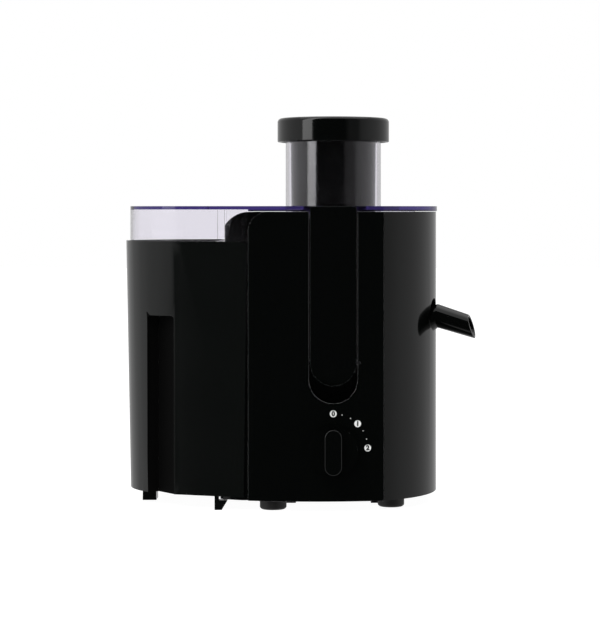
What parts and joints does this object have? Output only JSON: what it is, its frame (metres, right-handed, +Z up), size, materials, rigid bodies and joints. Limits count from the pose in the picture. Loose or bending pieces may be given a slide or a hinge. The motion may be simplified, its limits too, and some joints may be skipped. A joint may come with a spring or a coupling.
{
  "type": "centrifugal juicer",
  "caption": "Compact centrifugal juicer: black motor base with speed knob, latch arms, clear lid with feed chute and pusher, strainer basket, spout and side pulp bin.",
  "frame": {"origin": "on the worktop, under the middle of the machine's overall box", "axes": "+X from the pulp bin towards the juice spout, +Y from the front (knob side) to the rear, +Z up; the motor axis is parallel to +Z at x = 0.0242 m, y = 0.0075 m"},
  "size_m": [0.2556, 0.1582, 0.2795],
  "materials": {
    "black_gloss_plastic": "polished black ABS",
    "black_satin_plastic": "satin black polypropylene with a fine grain",
    "clear_tinted_plastic": "clear violet-tinted styrene acrylonitrile, polished",
    "black_rubber": "matte black thermoplastic rubber",
    "light_grey_plastic": "light grey polypropylene",
    "dark_technical_plastic": "glass-filled nylon",
    "white_nylon": "natural nylon",
    "stainless_sheet": "etched and perforated stainless sheet",
    "zinc_plated_steel": "zinc plated",
    "blackened_steel": "blackened steel pins",
    "ground_steel": "ground",
    "lamination_steel": "stacked, varnished electrical steel",
    "enamelled_copper": "enamelled copper wire",
    "commutator_copper": "turned copper bars",
    "carbon": "pressed carbon"
  },
  "bodies": {
    "base": {"motor_housing": "black_gloss_plastic", "front_panel": "black_gloss_plastic", "rear_panel": "black_gloss_plastic", "base_cover": "black_satin_plastic", "rubber_feet": "black_rubber", "base_screws": "zinc_plated_steel", "cord_grommet": "black_rubber", "front_latch_pin": "blackened_steel", "rear_latch_pin": "blackened_steel", "front_microswitch": "dark_technical_plastic", "rear_microswitch": "dark_technical_plastic", "speed_switch": "dark_technical_plastic", "switch_nut": "zinc_plated_steel", "juice_bowl": "black_satin_plastic", "juice_spout": "black_gloss_plastic", "spout_seal": "black_rubber", "shaft_seal": "black_rubber", "upper_bearing": "ground_steel", "lower_bearing": "ground_steel", "stator_core": "lamination_steel", "field_coils": "enamelled_copper", "upper_bracket": "zinc_plated_steel", "lower_bracket": "zinc_plated_steel", "brush_holders": "dark_technical_plastic", "carbon_brushes": "carbon", "brush_springs": "zinc_plated_steel", "motor_mounts": "black_rubber", "motor_screws": "zinc_plated_steel", "stator_bolts": "zinc_plated_steel"},
    "front_latch": {"front_latch_arm": "black_gloss_plastic"},
    "rear_latch": {"rear_latch_arm": "black_gloss_plastic"},
    "front_button": {"front_interlock_button": "white_nylon"},
    "rear_button": {"rear_interlock_button": "white_nylon"},
    "knob": {"speed_knob": "black_gloss_plastic", "switch_shaft": "ground_steel"},
    "rotor": {"motor_shaft": "ground_steel", "armature_core": "lamination_steel", "armature_winding": "enamelled_copper", "commutator": "commutator_copper", "cooling_fan": "dark_technical_plastic", "drive_coupler": "dark_technical_plastic"},
    "basket": {"basket_hub": "light_grey_plastic", "basket_sheet": "stainless_sheet", "basket_rim": "light_grey_plastic", "grater_disc": "stainless_sheet"},
    "lid": {"lid": "clear_tinted_plastic"},
    "pusher": {"pusher_body": "black_gloss_plastic", "pusher_cap": "black_gloss_plastic"},
    "bin": {"pulp_bin": "black_satin_plastic"}
  },
  "joints": [
    {"name": "front_latch_swing", "type": "hinge", "parent": "base", "child": "front_latch", "pos_m": [0.02423, -0.06065, 0.105], "axis": [1, 0, 0], "range_deg": [0, 85]},
    {"name": "rear_latch_swing", "type": "hinge", "parent": "base", "child": "rear_latch", "pos_m": [0.02423, 0.07555, 0.105], "axis": [-1, 0, 0], "range_deg": [0, 85]},
    {"name": "lid_lift", "type": "slide", "parent": "base", "child": "lid", "axis": [0, 0, 1], "range_m": [0, 0.06]},
    {"name": "front_button_travel", "type": "slide", "parent": "base", "child": "front_button", "axis": [0, -1, 0], "range_m": [0, 0.002]},
    {"name": "rear_button_travel", "type": "slide", "parent": "base", "child": "rear_button", "axis": [0, 1, 0], "range_m": [0, 0.002]},
    {"name": "speed_knob_turn", "type": "hinge", "parent": "base", "child": "knob", "pos_m": [0.02423, -0.06445, 0.0435], "axis": [0, 1, 0], "range_deg": [0, 90]},
    {"name": "motor_spin", "type": "hinge", "parent": "base", "child": "rotor", "pos_m": [0.02423, 0.00745, 0.1], "axis": [0, 0, 1], "continuous": true},
    {"name": "basket_spin", "type": "hinge", "parent": "base", "child": "basket", "pos_m": [0.02423, 0.00745, 0.15], "axis": [0, 0, 1], "continuous": true},
    {"name": "pusher_slide", "type": "slide", "parent": "lid", "child": "pusher", "axis": [0, 0, 1], "range_m": [0, 0.11]},
    {"name": "bin_pull", "type": "slide", "parent": "base", "child": "bin", "axis": [-1, 0, 0], "range_m": [0, 0.12]}
  ],
  "couplings": [
    {"joint": "rear_latch_swing", "follows": "front_latch_swing", "ratio": 1},
    {"joint": "lid_lift", "follows": "front_latch_swing", "m_per_rad": 0.0404},
    {"joint": "front_button_travel", "follows": "front_latch_swing", "m_per_rad": 0.00134},
    {"joint": "rear_button_travel", "follows": "front_latch_swing", "m_per_rad": 0.00134},
    {"joint": "basket_spin", "follows": "motor_spin", "ratio": 1}
  ]
}
